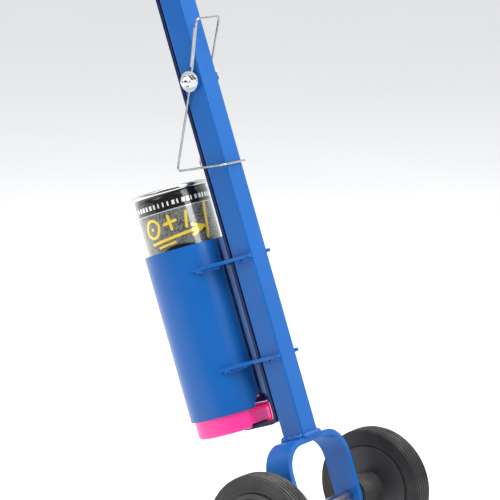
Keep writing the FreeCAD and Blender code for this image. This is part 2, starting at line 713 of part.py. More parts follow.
def make_wheels():
    """Each wheel: a tyre on a moulded hub with a bush in it. Outside faces are away from the arch."""
    near, far = "wheel_near", "wheel_near + wheel_wide"
    for side, sign in BOTH_SIDES.items():
        across = FreeCAD.Placement(FreeCAD.Vector(), FreeCAD.Rotation(FreeCAD.Vector(1, 0, 0), -90 * sign))
        frame = TUBE_FRAME * across
        hub = turned(side + "_hub_turned", [
            ("bush_radius", "boss_near"), ("boss_radius", "boss_near"), ("boss_radius", near),
            ("rim_radius", near), ("rim_radius", far), ("rim_radius - 4", far),
            ("rim_radius - 5", f"{far} - 12"), ("boss_radius + 2", f"{far} - 12"),
            ("boss_radius", "boss_far"), ("bush_radius", "boss_far")])
        ribs = []
        for k in range(6):
            rib = block(f"{side}_rib_{k}", ("boss_radius - 1", "-1.5", f"{far} - 13"),
                        "rim_radius - boss_radius - 2", "3", "9")
            turn = FreeCAD.Rotation(FreeCAD.Vector(0, 0, 1), 60 * k)
            offset = turn.multVec(FreeCAD.Vector(size("boss_radius") - 1, -1.5, 0))
            rib.setExpression("Placement.Base.x", str(round(offset.x, 4)))
            rib.setExpression("Placement.Base.y", str(round(offset.y, 4)))
            rib.Placement = FreeCAD.Placement(rib.Placement.Base, turn)
            ribs.append(rib)
        node(side + "_wheel_hub", joined(side + "_wheel_hub", hub, *ribs), frame)
        node(side + "_tyre", turned(side + "_tyre", [
            ("rim_radius", near), ("wheel_radius - 5", near), ("wheel_radius - 1.4", f"{near} + 2.4"),
            ("wheel_radius", f"{near} + 7"), ("wheel_radius", f"{far} - 7"),
            ("wheel_radius - 1.4", f"{far} - 2.4"), ("wheel_radius - 5", far), ("rim_radius", far)]), frame)
        node(side + "_wheel_bush", turned(side + "_wheel_bush", [
            ("axle_radius + running_gap", "boss_near"), ("bush_radius", "boss_near"),
            ("bush_radius", "boss_far"), ("axle_radius + running_gap", "boss_far")]), frame)


# ---- bail and its bolt --------------------------------------------------------------------

def make_bail():
    """Spring wire: a lower loop over the can's base and an upper loop for the thumb."""
    rise, eye, side = size("bolt_rise"), size("bail_eye_side"), size("bail_side")
    wire = size("bail_wire")
    leave, lap_end, bend = size("bail_leave"), size("bail_lap"), size("bail_bend")
    reach = size("bolt_radius") + 0.1 + wire
    corner = FreeCAD.Vector(-size("bail_back"), 0, size("bail_low") - rise)
    loop = FreeCAD.Vector(size("loop_front"), 0, size("loop_high") - rise)

    def leg(way, sign, distance, across):
        point = way * (distance / way.Length)
        return (point.x, sign * across, rise + point.z)

    lower = []
    upper = []
    for sign in (-1, 1):
        low_leg = [leg(corner, sign, reach, eye), leg(corner, sign, leave, eye),
                   (-size("bail_back"), sign * side, size("bail_low")),
                   (size("bail_front"), sign * side, size("bail_front_low"))]
        high_leg = [leg(loop, sign, reach, eye), leg(loop, sign, leave, eye),
                    leg(loop, sign, loop.Length, side)]
        lower += low_leg if sign < 0 else low_leg[::-1]
        upper += high_leg if sign < 0 else high_leg[::-1]
    pieces = [wire_along(bent_line(lower, bend), wire), wire_along(bent_line(upper, bend), wire)]
    spread = (side - eye) / (loop.Length - leave)
    lap = [leg(loop, -1, distance, eye + spread * (distance - leave) + 1.9 * wire)
           for distance in (leave, lap_end)]
    pieces.append(wire_along(bent_line(lap, bend), wire))
    for sign in (-1, 1):
        centre = FreeCAD.Vector(0, sign * eye, rise)
        pieces.append(Part.makeTorus(reach, wire, centre, FreeCAD.Vector(0, 1, 0)))
    node("bail_wire", solid_of("bail_wire", pieces[0].multiFuse(pieces[1:])), TUBE_FRAME)


def make_bail_bolt():
    face = "tube_side / 2"
    outer = "bail_eye_side + bail_wire + bail_play"
    nut_end = f"-({outer} + flat_washer + head_thick)"
    shank = rod("bail_shank", ("0", f"{nut_end} + 0.2", "bolt_rise"), ALONG_Y, "bolt_radius",
                f"2 * ({outer} + flat_washer) + head_thick - 0.2")
    head = hex_nut("bail_head", "0", f"{outer} + flat_washer", "bolt_rise", "head_thick")
    node("bail_bolt", joined("bail_bolt", shank, head), TUBE_FRAME)
    barrel = hex_nut("dome_hex", "0", nut_end, "bolt_rise", "head_thick")
    dome = primitive("Sphere", "dome_crown", ("0", nut_end, "bolt_rise"), Radius="dome_radius")
    hole = rod("dome_hole", ("0", f"{nut_end} + 0.2", "bolt_rise"), ALONG_Y, "bolt_radius", "12")
    node("dome_nut", cut("dome_nut", joined("dome_solid", barrel, dome), hole), TUBE_FRAME)
    washers = []
    for start, radius in ((face, "flat_washer_radius"), (outer, "bail_washer_radius")):
        for at in (start, f"-({start} + flat_washer)"):
            washers.append(tube_of("bail_washer", ("0", at, "bolt_rise"), ALONG_Y, radius, "bolt_radius",
                                   "flat_washer"))
    node("bail_washers", grouped("bail_washers", *washers), TUBE_FRAME)


# ---- aerosol can --------------------------------------------------------------------------

def make_can():
    inner = "can_radius - can_wall"
    node("can_shell", turned("can_shell", [
        ("can_radius", "can_high"), ("can_radius", "can_low"), ("can_radius - 0.6", "can_low - 1.6"),
        ("cone_radius", "cone_low"), ("neck_radius + 1.4", "neck_low + 0.8"), ("neck_radius", "neck_low"),
        ("neck_radius - can_wall", "neck_low + can_wall"), ("cone_radius - can_wall", "cone_low + can_wall"),
        (inner, "can_low"), (inner, "can_high")]), CAN_FRAME)
    base = turned("can_base", [
        ("seam_radius", "can_high"), ("seam_radius", "can_high + seam_tall"),
        ("seam_radius - 2.4", "can_high + seam_tall"), ("seam_radius - 2.8", "can_high + 0.6"),
        ("seam_radius * 0.55", "can_high + seam_tall - base_hollow - 0.6"),
        ("0", "can_high + seam_tall - base_hollow - 2"),
        ("0", "can_high + seam_tall - base_hollow - 2 - can_wall"),
        ("seam_radius * 0.55", "can_high + seam_tall - base_hollow - 0.6 - can_wall"),
        ("can_radius - can_wall", "can_high - 1"), ("can_radius - can_wall", "can_high")])
    node("can_base", base, CAN_FRAME)
    node("valve_cup", turned("valve_cup", [
        ("neck_radius + 0.4", "neck_low - 0.2"), ("neck_radius + 0.4", "neck_low - 3"),
        ("neck_radius - 1.2", "neck_low - 3.4"), ("neck_radius - 3", "neck_low + 0.4"),
        ("5", "neck_low + 0.4"), ("5", "cup_low"), ("stem_radius + running_gap", "cup_low"),
        ("stem_radius + running_gap", "cup_low + 1"), ("4", "cup_low + 1"), ("4", "neck_low + 1.2"),
        ("neck_radius - 2.2", "neck_low + 1.2"), ("neck_radius - 1", "neck_low - 0.2")]), CAN_FRAME)
    ball_rise = "cone_low + can_wall + ball_radius + 1.4"
    ball = primitive("Sphere", "ball", ("-(cone_radius - 9)", "0", ball_rise), Radius="ball_radius")
    node("mixing_ball", grouped("mixing_ball", ball), CAN_FRAME)


def make_stem():
    low, high = "stem_low", "neck_low + 9"
    solid = turned("valve_stem", [
        ("1", low), ("stem_radius", low), ("stem_radius", "cup_low + 1.8"), ("3.4", "cup_low + 1.8"),
        ("3.4", "cup_low + 3.4"), ("stem_radius", "cup_low + 3.4"), ("stem_radius", high), ("0", high),
        ("0", "neck_low + 4"), ("1", "neck_low + 4")])
    node("valve_stem", solid, CAN_FRAME)


# ---- spray cap ----------------------------------------------------------------------------

def make_cover():
    """A cup over the valve, open along a channel where the foot reaches the tab."""
    cup = turned("cover_turned", [
        ("0", "cover_low"), ("cover_radius", "cover_low"), ("cover_radius", "cover_high"),
        ("cover_radius - cover_wall", "cover_high"), ("cover_radius - cover_wall", "cover_low + cover_roof"),
        ("0", "cover_low + cover_roof")])
    box = cup.Shape.BoundBox
    rim = [edge for edge in cup.Shape.Edges
           if edge.BoundBox.ZMax < box.ZMin + 0.01 and edge.BoundBox.XMax > box.XMax - 0.01]
    names = [f"Edge{k + 1}" for k, edge in enumerate(cup.Shape.Edges) if any(edge.isSame(r) for r in rim)]
    before = cup.Tip
    fillet = cup.newObject("PartDesign::Fillet", "cover_corner_round")
    fillet.Base = (before, names)
    fillet.setExpression("Radius", bound("cover_corner"))
    channel = block("cover_channel", ("-window_back", "-window_half", "cover_low - 1"),
                    "window_back + 2 * cover_radius", "2 * window_half", "window_high - cover_low + 1")
    gate = block("cover_gate", ("tab_front - tab_wall - 1.5", "-window_half", "cover_low - 1"),
                 "cover_radius", "2 * window_half", "cover_high - cover_low + 2")
    outside = cut("cover_outside", cup, channel, gate)
    ring = tube_of("cover_ring", ("0", "0", "window_high"), PLAIN, "cover_radius - cover_wall",
                   "snap_radius - 1.6", "1.2")
    web = cut("cover_web", ring, gate)
    snap = tube_of("cover_snap", ("0", "0", "window_high - 0.8"), PLAIN, "snap_radius",
                   "neck_radius + 0.4", "3")
    post = block("cover_hinge_post", ("-window_back - 2", "-window_half", "tab_low + 0.2"),
                 "2", "2 * window_half", "window_high - tab_low - 0.2")
    node("spray_cap", joined("spray_cap", outside, web, snap, post), CAN_FRAME)


def make_tab():
    """The tab that the foot lifts: a plate with a lip, and a socket over the valve stem."""
    plate = padded("tab_plate", "XZ_Plane", [
        ("tab_front", "tab_low"), ("tab_front", "tab_wall_high"),
        ("tab_front - tab_wall", "tab_wall_high"), ("tab_front - tab_wall", "tab_low + tab_thick"),
        ("-tab_hinge_back", "tab_low + tab_thick"), ("-tab_hinge_back", "tab_low")], "2 * tab_half")
    boss = rod("tab_boss_rod", ("0", "0", "tab_low"), PLAIN, "tab_boss", "6.2")
    bowl = rod("tab_bowl", ("0", "0", "stem_low - 0.4"), PLAIN, "stem_radius + 1.4", "20")
    jet = rod("tab_jet", ("0", "0", "tab_low - 1"), PLAIN, "1", "20")
    inside = primitive("Cylinder", "tab_limit", ("0", "0", "tab_low - 1"), Radius="cover_radius - 1",
                       Height="30")
    trimmed = doc.addObject("Part::Common", "tab_trimmed")
    trimmed.Base = joined("tab_solid", plate, boss)
    trimmed.Tool = inside
    seat = rod("tab_seat", ("0", "0", "tab_low - 1"), PLAIN, "nozzle_radius", "2.4")
    node("spray_tab", cut("spray_tab", trimmed, bowl, jet, seat), CAN_FRAME)
    node("spray_nozzle", turned("spray_nozzle", [
        ("0.6", "tab_low - 1.2"), ("nozzle_radius - 0.6", "tab_low - 1.2"),
        ("nozzle_radius", "tab_low - 0.4"),
        ("nozzle_radius", "tab_low + 1.4"), ("1", "tab_low + 1.4")]), CAN_FRAME)


# ---- build, check and write ---------------------------------------------------------------

for make in (make_handle_tube, make_tube_cap, make_grip, make_pull_bar, make_foot_pad, make_clevis_pin,
             make_trigger, make_trigger_bolt, make_spring, make_spring_screw, make_guides, make_holder,
             make_plates, make_arch, make_axle, make_wheels, make_bail, make_bail_bolt, make_can, make_stem,
             make_cover, make_tab):
    make()

doc.recompute()

for item in doc.Objects:
    if "Invalid" in item.State or "Error" in item.State:
        raise RuntimeError(f"{item.Label} failed: {item.State}")
for name, piece in nodes.items():
    if piece.Shape.isNull() or not piece.Shape.isValid():
        raise RuntimeError(f"{name} has no valid shape")

os.makedirs("parts", exist_ok=True)
for name, piece in nodes.items():
    piece.Shape.exportStep(f"parts/{name}.step")
    print(f"{name}: {len(piece.Shape.Solids)} solid, {piece.Shape.Volume / 1000:.2f} cm3")
print(f"{len(nodes)} nodes")
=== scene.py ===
import json
import math

import bmesh
import bpy
import numpy as np
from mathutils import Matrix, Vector


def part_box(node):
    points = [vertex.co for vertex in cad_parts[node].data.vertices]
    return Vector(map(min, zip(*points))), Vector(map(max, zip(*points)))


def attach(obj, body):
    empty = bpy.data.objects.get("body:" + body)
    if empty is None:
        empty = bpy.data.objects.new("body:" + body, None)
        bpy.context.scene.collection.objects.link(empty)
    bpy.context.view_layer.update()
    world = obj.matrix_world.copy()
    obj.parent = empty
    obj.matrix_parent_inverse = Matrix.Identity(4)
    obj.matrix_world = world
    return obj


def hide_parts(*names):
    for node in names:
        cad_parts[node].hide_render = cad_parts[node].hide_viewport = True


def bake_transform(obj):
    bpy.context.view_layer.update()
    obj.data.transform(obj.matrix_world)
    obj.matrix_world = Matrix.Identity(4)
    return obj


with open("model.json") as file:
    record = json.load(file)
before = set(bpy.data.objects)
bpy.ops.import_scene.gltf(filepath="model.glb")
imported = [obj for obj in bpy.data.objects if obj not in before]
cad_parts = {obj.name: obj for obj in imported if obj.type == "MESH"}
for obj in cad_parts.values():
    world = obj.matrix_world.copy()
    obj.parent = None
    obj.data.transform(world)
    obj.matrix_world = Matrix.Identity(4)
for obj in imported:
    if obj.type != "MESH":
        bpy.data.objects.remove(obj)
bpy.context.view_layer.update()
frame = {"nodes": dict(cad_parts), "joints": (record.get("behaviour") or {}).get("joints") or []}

# A line striping machine: the frame comes from model.glb, and this script adds finishes, weld
# beads, tyres, the printed can, the ribbed grip, the return spring, the floor and the lights.

nodes = frame["nodes"]
joints = {joint["name"]: joint for joint in frame["joints"]}
mm = 0.001

# The handle tube's own axes: fore comes out of its front face, left is the machine's left and
# up runs along the tube. They start at the middle of the wheel axle.
up = np.array(joints["bar_slide"]["axis"])
left = np.array([0.0, 1.0, 0.0])
fore = np.cross(left, up)
axle = np.array(joints["left_wheel_spin"]["pos_m"]) * [1, 0, 1]
tubeAxes = np.stack([fore, left, up])


def fromTube(points):  # millimetres along the tube's axes, as metres in the machine's frame
    return axle + np.asarray(points, float) * mm @ tubeAxes


def reach(node):  # a node's lowest and highest values along the tube's axes, in millimetres
    mesh = nodes[node].data
    found = np.empty(len(mesh.vertices) * 3)
    mesh.vertices.foreach_get("co", found)
    along = (found.reshape(-1, 3) - axle) @ tubeAxes.T / mm
    return along.min(0), along.max(0)


def gridFaces(rows, columns, closeRows, closeColumns, start):
    # Every surface is a grid of points, and this gives the corners of its faces.
    i = np.arange(rows if closeRows else rows - 1)[:, None]
    j = np.arange(columns if closeColumns else columns - 1)[None, :]
    nextI, nextJ = (i + 1) % rows, (j + 1) % columns
    corners = [i * columns + j, i * columns + nextJ, nextI * columns + nextJ, nextI * columns + j]
    return start + np.stack(np.broadcast_arrays(*corners), -1).reshape(-1, 4)


def makePiece(name, grids, material, body, replaced=(), sharp=40, uv=None):
    # grids: (points[rows, columns, 3], rows are closed, columns are closed), in metres.
    points, faces, start = [], [], 0
    for grid, closeRows, closeColumns in grids:
        rows, columns = grid.shape[:2]
        points.append(grid.reshape(-1, 3))
        faces += gridFaces(rows, columns, closeRows, closeColumns, start).tolist()
        if closeColumns and not closeRows:  # an open tube gets a flat face over each end
            ring = np.arange(columns) + start
            faces += [ring[::-1].tolist(), (ring + (rows - 1) * columns).tolist()]
        start += rows * columns
    mesh = bpy.data.meshes.new(name)
    mesh.from_pydata(np.concatenate(points).tolist(), [], faces)
    if uv is not None:
        layer = mesh.uv_layers.new(name="label")
        layer.data.foreach_set("uv", uv.astype(np.float32).ravel())
    shape = bmesh.new()
    shape.from_mesh(mesh)
    bmesh.ops.remove_doubles(shape, verts=shape.verts, dist=1e-6)
    bmesh.ops.recalc_face_normals(shape, faces=shape.faces)
    shape.to_mesh(mesh)
    shape.free()
    mesh.shade_smooth()
    mesh.set_sharp_from_angle(angle=math.radians(sharp))
    piece = bpy.data.objects.new(name, mesh)
    bpy.context.scene.collection.objects.link(piece)
    mesh.materials.append(material)
    if replaced:
        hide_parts(*replaced)
    if body:
        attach(piece, body)
    return piece


def roundCorners(outline, radius, steps=5):
    # A closed outline whose corners are quadratic curves that start one radius from each corner,
    # or nearer where a side is short.
    outline = np.asarray(outline, float)
    before, after = np.roll(outline, 1, 0) - outline, np.roll(outline, -1, 0) - outline
    lengthA, lengthB = (np.linalg.norm(v, axis=1, keepdims=True) for v in (before, after))
    radius = np.broadcast_to(np.asarray(radius, float), len(outline))[:, None]
    a = outline + before / lengthA * np.minimum(radius, 0.45 * lengthA)
    b = outline + after / lengthB * np.minimum(radius, 0.45 * lengthB)
    t = np.linspace(0, 1, steps)[None, :, None]
    curve = (1 - t) ** 2 * a[:, None] + 2 * t * (1 - t) * outline[:, None] + t ** 2 * b[:, None]
    return curve.reshape(-1, outline.shape[1])


def turned(outline, centre, axis, side, around):
    # Surface of revolution: centre + height * axis + radius * (side turned about the axis).
    radius, height = np.asarray(outline, float).T * mm
    angle = np.linspace(0, 2 * math.pi, around, endpoint=False)
    spoke = np.cos(angle)[:, None] * side + np.sin(angle)[:, None] * np.cross(axis, side)
    return centre + radius[:, None, None] * spoke + height[:, None, None] * np.asarray(axis)


def swept(path, radius, sides, towards):
    # A round profile carried along a path: path + radius * (cos * normal + sin * binormal), where
    # the normal is the part of towards that is square to the path.
    path = np.asarray(path, float)
    tangent = np.gradient(path, axis=0)
    tangent /= np.linalg.norm(tangent, axis=1, keepdims=True)
    towards = np.broadcast_to(np.asarray(towards, float), path.shape)
    normal = towards - (towards * tangent).sum(1, keepdims=True) * tangent
    normal /= np.linalg.norm(normal, axis=1, keepdims=True)
    binormal = np.cross(tangent, normal)
    angle = np.linspace(0, 2 * math.pi, sides, endpoint=False)[None, :, None]
    radius = np.broadcast_to(np.asarray(radius, float), len(path))[:, None, None]
    ring = np.cos(angle) * normal[:, None] + np.sin(angle) * binormal[:, None]
    return path[:, None] + radius * ring


def put(tree, kind, inputs=None, **settings):
    item = tree.nodes.new("ShaderNode" + kind)
    for key, value in settings.items():
        setattr(item, key, value)
    for key, value in (inputs or {}).items():
        if isinstance(value, bpy.types.NodeSocket):
            tree.links.new(value, item.inputs[key])
        else:
            item.inputs[key].default_value = value
    return item


def calc(tree, operation, a, b=0.5, c=0.5):
    return put(tree, "Math", {0: a, 1: b, 2: c}, operation=operation).outputs[0]


def vectorCalc(tree, operation, a, b=(0, 0, 0)):
    item = put(tree, "VectorMath", {0: a, 1: b}, operation=operation)
    return item.outputs[1 if operation in ("LENGTH", "DOT_PRODUCT", "DISTANCE") else 0]


def between(tree, value, low, high, outLow=0.0, outHigh=1.0):
    return put(tree, "MapRange", {"Value": value, "From Min": low, "From Max": high, "To Min": outLow,
                                  "To Max": outHigh}, interpolation_type="SMOOTHSTEP").outputs[0]


def blendColour(tree, factor, a, b):
    item = tree.nodes.new("ShaderNodeMix")
    item.data_type = "RGBA"
    for key, value in ((0, factor), (6, a), (7, b)):
        if isinstance(value, bpy.types.NodeSocket):
            tree.links.new(value, item.inputs[key])
        else:
            item.inputs[key].default_value = value if key == 0 else (*value, 1)[:4]
    return item.outputs[2]


def noise(tree, vector, scale, detail=3.0, rough=0.55):
    return put(tree, "TexNoise", {"Vector": vector, "Scale": scale, "Detail": detail,
                                  "Roughness": rough}).outputs["Fac"]


def newGroup(name, inputs, outputs):
    tree = bpy.data.node_groups.new(name, "ShaderNodeTree")
    for label, value in inputs.items():
        kind = {float: "Float", tuple: "Color", list: "Vector"}[type(value)]
        socket = tree.interface.new_socket(label, in_out="INPUT", socket_type="NodeSocket" + kind)
        socket.default_value = (*value, 1) if kind == "Color" else value
    for label, kind in outputs.items():
        tree.interface.new_socket(label, in_out="OUTPUT", socket_type="NodeSocket" + kind)
    return tree, tree.nodes.new("NodeGroupInput").outputs, tree.nodes.new("NodeGroupOutput").inputs


def useGroup(tree, group, **values):
    item = tree.nodes.new("ShaderNodeGroup")
    item.node_tree = group
    for key, value in values.items():
        socket = item.inputs[key]
        if isinstance(value, bpy.types.NodeSocket):
            tree.links.new(value, socket)
        elif socket.type == "RGBA":
            socket.default_value = (*value, 1)
        else:
            socket.default_value = value
    return item.outputs


def makeEdgeWear():
    # Where the surface turns within a small distance the colour moves towards the worn one, in
    # patches: the mask is one less the cosine between the true and the averaged normal.
    tree, given, out = newGroup("edgeWear", {"Colour": (0.5, 0.5, 0.5), "Worn": (0.8, 0.8, 0.8),
                                             "Amount": 0.5, "Radius": 0.0008},
                                {"Colour": "Color", "Mask": "Float"})
    where = put(tree, "TexCoord").outputs["Object"]
    soft = put(tree, "Bevel", {"Radius": given["Radius"]}, samples=4).outputs[0]
    sharpNormal = put(tree, "NewGeometry").outputs["Normal"]
    turn = calc(tree, "SUBTRACT", 1.0, vectorCalc(tree, "DOT_PRODUCT", soft, sharpNormal))
    edge = between(tree, turn, 0.03, 0.3)
    patchy = between(tree, noise(tree, where, 260.0, 4.0, 0.7), 0.42, 0.7)
    mask = calc(tree, "MULTIPLY", calc(tree, "MULTIPLY", edge, patchy), given["Amount"])
    tree.links.new(mask, out["Mask"])
    tree.links.new(blendColour(tree, mask, given["Colour"], given["Worn"]), out["Colour"])
    return tree


def makeDust():
    # Faces that look up hold a thin uneven film: the amount is the normal's rise times noise.
    tree, given, out = newGroup("dustFilm", {"Colour": (0.5, 0.5, 0.5), "Dust": (0.5, 0.47, 0.42),
                                             "Amount": 0.2, "Roughness": 0.3},
                                {"Colour": "Color", "Roughness": "Float"})
    where = put(tree, "TexCoord").outputs["Object"]
    rise = put(tree, "SeparateXYZ", {0: put(tree, "NewGeometry").outputs["Normal"]}).outputs[2]
    facing = between(tree, rise, 0.2, 1.0, 0.15, 1.0)
    cloud = between(tree, noise(tree, where, 45.0, 6.0, 0.65), 0.38, 0.72)
    specks = between(tree, noise(tree, where, 1700.0, 2.0), 0.63, 0.72)
    film = calc(tree, "MULTIPLY", calc(tree, "MULTIPLY", facing, calc(tree, "MAXIMUM", cloud, specks)),
                given["Amount"])
    tree.links.new(blendColour(tree, film, given["Colour"], given["Dust"]), out["Colour"])
    smudge = between(tree, noise(tree, where, 22.0, 3.0, 0.5), 0.3, 0.8, -0.02, 0.04)
    rough = calc(tree, "ADD", given["Roughness"], calc(tree, "ADD", smudge,
                                                       calc(tree, "MULTIPLY", film, 0.5)))
    tree.links.new(rough, out["Roughness"])
    return tree


def makeFineGrain():
    # Two sizes of noise added as a height: broad waves, as in sprayed paint, and a fine tooth.
    tree, given, out = newGroup("fineGrain", {"Wave": 350.0, "Tooth": 2400.0, "Share": 0.4},
                                {"Height": "Float"})
    where = put(tree, "TexCoord").outputs["Object"]
    wave = noise(tree, where, given["Wave"], 2.0, 0.5)
    tooth = noise(tree, where, given["Tooth"], 2.0, 0.6)
    height = calc(tree, "MULTIPLY_ADD", tooth, given["Share"], wave)
    tree.links.new(height, out["Height"])
    return tree


def makeScratches():
    # Thin light lines: a stretched noise cut close to its middle value, in two directions.
    tree, given, out = newGroup("fineScratches", {"Amount": 0.5}, {"Mask": "Float"})
    where = put(tree, "TexCoord").outputs["Object"]
    lines = []
    for stretch, turn in (((90.0, 1500.0, 1500.0), 0.4), ((1500.0, 1500.0, 70.0), -0.3)):
        mapped = put(tree, "Mapping", {"Vector": where, "Rotation": (0.0, turn, turn), "Scale": stretch})
        value = noise(tree, mapped.outputs[0], 1.0, 1.0)
        lines.append(between(tree, calc(tree, "ABSOLUTE", calc(tree, "SUBTRACT", value, 0.5)),
                             0.012, 0.0))
    here = between(tree, noise(tree, where, 30.0, 3.0), 0.52, 0.66)
    mask = calc(tree, "MULTIPLY", calc(tree, "MAXIMUM", *lines), calc(tree, "MULTIPLY", here,
                                                                     given["Amount"]))
    tree.links.new(mask, out["Mask"])
    return tree


edgeWear, dustFilm = makeEdgeWear(), makeDust()
fineGrain, fineScratches = makeFineGrain(), makeScratches()


def shaderOf(name):
    material = bpy.data.materials.new(name)
    material.use_nodes = True
    return material, material.node_tree, material.node_tree.nodes["Principled BSDF"]


def finishOf(name, look):
    # One recipe for plain finishes: two shades clouded together, scratches, worn edges, dust, a
    # grain in the bump, and rounded-looking corners from the averaged normal.
    material, tree, shader = shaderOf(name)
    where = put(tree, "TexCoord").outputs["Object"]
    cloud = between(tree, noise(tree, where, look["cloudScale"], 4.0), 0.35, 0.68)
    colour = blendColour(tree, cloud, look["colour"], look["shade"])
    scratch = useGroup(tree, fineScratches, Amount=look["scratches"])["Mask"]
    colour = blendColour(tree, scratch, colour, look["worn"])
    worn = useGroup(tree, edgeWear, Colour=colour, Worn=look["worn"], Amount=look["wear"],
                    Radius=look["edge"])
    dusty = useGroup(tree, dustFilm, Colour=worn["Colour"], Dust=look["dustColour"],
                     Amount=look["dust"], Roughness=look["roughness"])
    tree.links.new(dusty["Colour"], shader.inputs["Base Color"])
    tree.links.new(dusty["Roughness"], shader.inputs["Roughness"])
    grain = useGroup(tree, fineGrain, Wave=look["wave"], Tooth=look["tooth"], Share=look["share"])
    height = calc(tree, "SUBTRACT", grain["Height"], calc(tree, "MULTIPLY", scratch, 0.6))
    rounded = put(tree, "Bevel", {"Radius": look["edge"]}, samples=4).outputs[0]
    bump = put(tree, "Bump", {"Strength": look["bump"], "Distance": 0.0001, "Height": height,
                              "Normal": rounded}).outputs[0]
    tree.links.new(bump, shader.inputs["Normal"])
    for key, value in look["shader"].items():
        shader.inputs[key].default_value = value
    material.diffuse_color = (*look["colour"], 1)
    return material


plain = {"cloudScale": 18.0, "scratches": 0.15, "wear": 0.3, "edge": 0.0006, "dust": 0.12,
         "dustColour": (0.55, 0.52, 0.47), "wave": 350.0, "tooth": 2400.0, "share": 0.4, "bump": 0.25}
bluePaint = finishOf("blue_powder_coat", {
    **plain, "colour": (0.006, 0.112, 0.41), "shade": (0.005, 0.104, 0.385), "worn": (0.06, 0.22, 0.62),
    "wear": 0.3, "roughness": 0.3, "wave": 420.0, "tooth": 1500.0, "share": 0.35, "bump": 0.4,
    "scratches": 0.06, "dust": 0.04,
    "shader": {"Coat Weight": 0.18, "Coat Roughness": 0.05, "Specular IOR Level": 0.25}})
# The pull bar's paint is a darker copy of the blue powder coat: painted shade for the shadow the bar
# sits in between the holder and the tube.
bluePaintPaintedShade = finishOf("blue_paint_painted_shade_on_bar", {
    **plain, "colour": (0.006, 0.022, 0.09), "shade": (0.005, 0.018, 0.075), "worn": (0.03, 0.07, 0.2),
    "roughness": 0.3, "wave": 420.0, "tooth": 1500.0, "bump": 0.4, "dust": 0.05,
    "shader": {"Coat Weight": 0.08, "Coat Roughness": 0.12, "Specular IOR Level": 0.2}})
zincSteel = finishOf("zinc_steel", {
    **plain, "colour": (0.50, 0.50, 0.51), "shade": (0.38, 0.39, 0.40), "worn": (0.8, 0.8, 0.8),
    "roughness": 0.26, "cloudScale": 60.0, "scratches": 0.4, "wave": 500.0, "tooth": 3000.0,
    "bump": 0.2, "shader": {"Metallic": 1.0}})
chromePlate = finishOf("chrome_plate", {
    **plain, "colour": (0.80, 0.81, 0.83), "shade": (0.74, 0.75, 0.78), "worn": (0.9, 0.9, 0.9),
    "roughness": 0.08, "scratches": 0.12, "dust": 0.05, "wave": 120.0, "tooth": 900.0, "bump": 0.05,
    "shader": {"Metallic": 1.0}})
tinplate = finishOf("tinplate", {
    **plain, "colour": (0.70, 0.70, 0.69), "shade": (0.58, 0.58, 0.57), "worn": (0.88, 0.88, 0.87),
    "roughness": 0.2, "cloudScale": 90.0, "scratches": 0.35, "wave": 220.0, "tooth": 2600.0,
    "bump": 0.15, "shader": {"Metallic": 1.0}})
# Pink plastic for the spray cap and tab, with a faint pink emission: a painted glow that lightens the
# cap and tab where they sit in shade.
pinkPlasticPaintedGlow = finishOf("pink_plastic", {
    **plain, "colour": (0.93, 0.045, 0.33), "shade": (0.88, 0.035, 0.28), "worn": (0.98, 0.25, 0.52),
    "roughness": 0.3, "wear": 0.25, "dust": 0.06, "wave": 180.0, "tooth": 1400.0, "bump": 0.2,
    "shader": {"Subsurface Weight": 0.25, "Subsurface Scale": 0.002,
               "Subsurface Radius": (1.0, 0.3, 0.6), "Emission Color": (1.0, 0.05, 0.36, 1),
               "Emission Strength": 0.2}})
blackPlastic = finishOf("black_plastic", {
    **plain, "colour": (0.022, 0.022, 0.024), "shade": (0.03, 0.03, 0.032), "worn": (0.12, 0.12, 0.12),
    "roughness": 0.42, "wave": 700.0, "tooth": 2600.0, "share": 0.8, "bump": 0.5, "shader": {}})
nylon = finishOf("natural_nylon", {
    **plain, "colour": (0.76, 0.75, 0.70), "shade": (0.70, 0.68, 0.62), "worn": (0.85, 0.84, 0.8),
    "roughness": 0.4, "wave": 300.0, "tooth": 1800.0, "bump": 0.2,
    "shader": {"Subsurface Weight": 0.2, "Subsurface Scale": 0.002}})
gripRubber = finishOf("grip_rubber", {
    **plain, "colour": (0.018, 0.018, 0.019), "shade": (0.028, 0.028, 0.029), "worn": (0.09, 0.09, 0.09),
    "roughness": 0.62, "dust": 0.25, "wave": 800.0, "tooth": 3200.0, "share": 0.9, "bump": 0.6,
    "shader": {"Specular IOR Level": 0.35}})
tyreRubber = finishOf("tyre_rubber", {
    **plain, "colour": (0.010, 0.010, 0.011), "shade": (0.018, 0.018, 0.019), "worn": (0.09, 0.09, 0.09),
    "roughness": 0.5, "dust": 0.22, "wear": 0.5, "wave": 260.0, "tooth": 2200.0, "share": 0.8,
    "bump": 0.7, "shader": {"Specular IOR Level": 0.45}})
print("finishes made")

finishOfNode = {
    bluePaint: ["handle_tube", "grip_tube", "can_holder", "can_stops", "lower_bracket_plate",
                "upper_bracket_plate", "axle_arch", "trigger_lever", "spring_lug", "lower_guide",
                "upper_guide"],
    # the pull bar takes the darker copy of the blue paint, which is painted shade
    bluePaintPaintedShade: ["pull_bar"],
    zincSteel: ["wheel_axle", "axle_washers", "left_dust_cap", "right_dust_cap", "trigger_bolt",
                "trigger_nut", "trigger_washers", "spring_screw", "guide_rivets", "bail_bolt",
                "bail_wire", "clevis_pin", "clevis_clip"],
    chromePlate: ["dome_nut", "bail_washers", "mixing_ball"],
    tinplate: ["valve_cup"],
    # the cap and tab take the pink plastic with its painted glow
    pinkPlasticPaintedGlow: ["spray_cap", "spray_tab"],
    blackPlastic: ["tube_cap", "foot_pad", "left_wheel_hub", "right_wheel_hub"],
    nylon: ["valve_stem", "spray_nozzle", "left_wheel_bush", "right_wheel_bush"],
}
for finish, names in finishOfNode.items():
    for name in names:
        held = nodes[name].data.materials
        if not held:
            held.append(finish)
        for k in range(len(held)):
            held[k] = finish

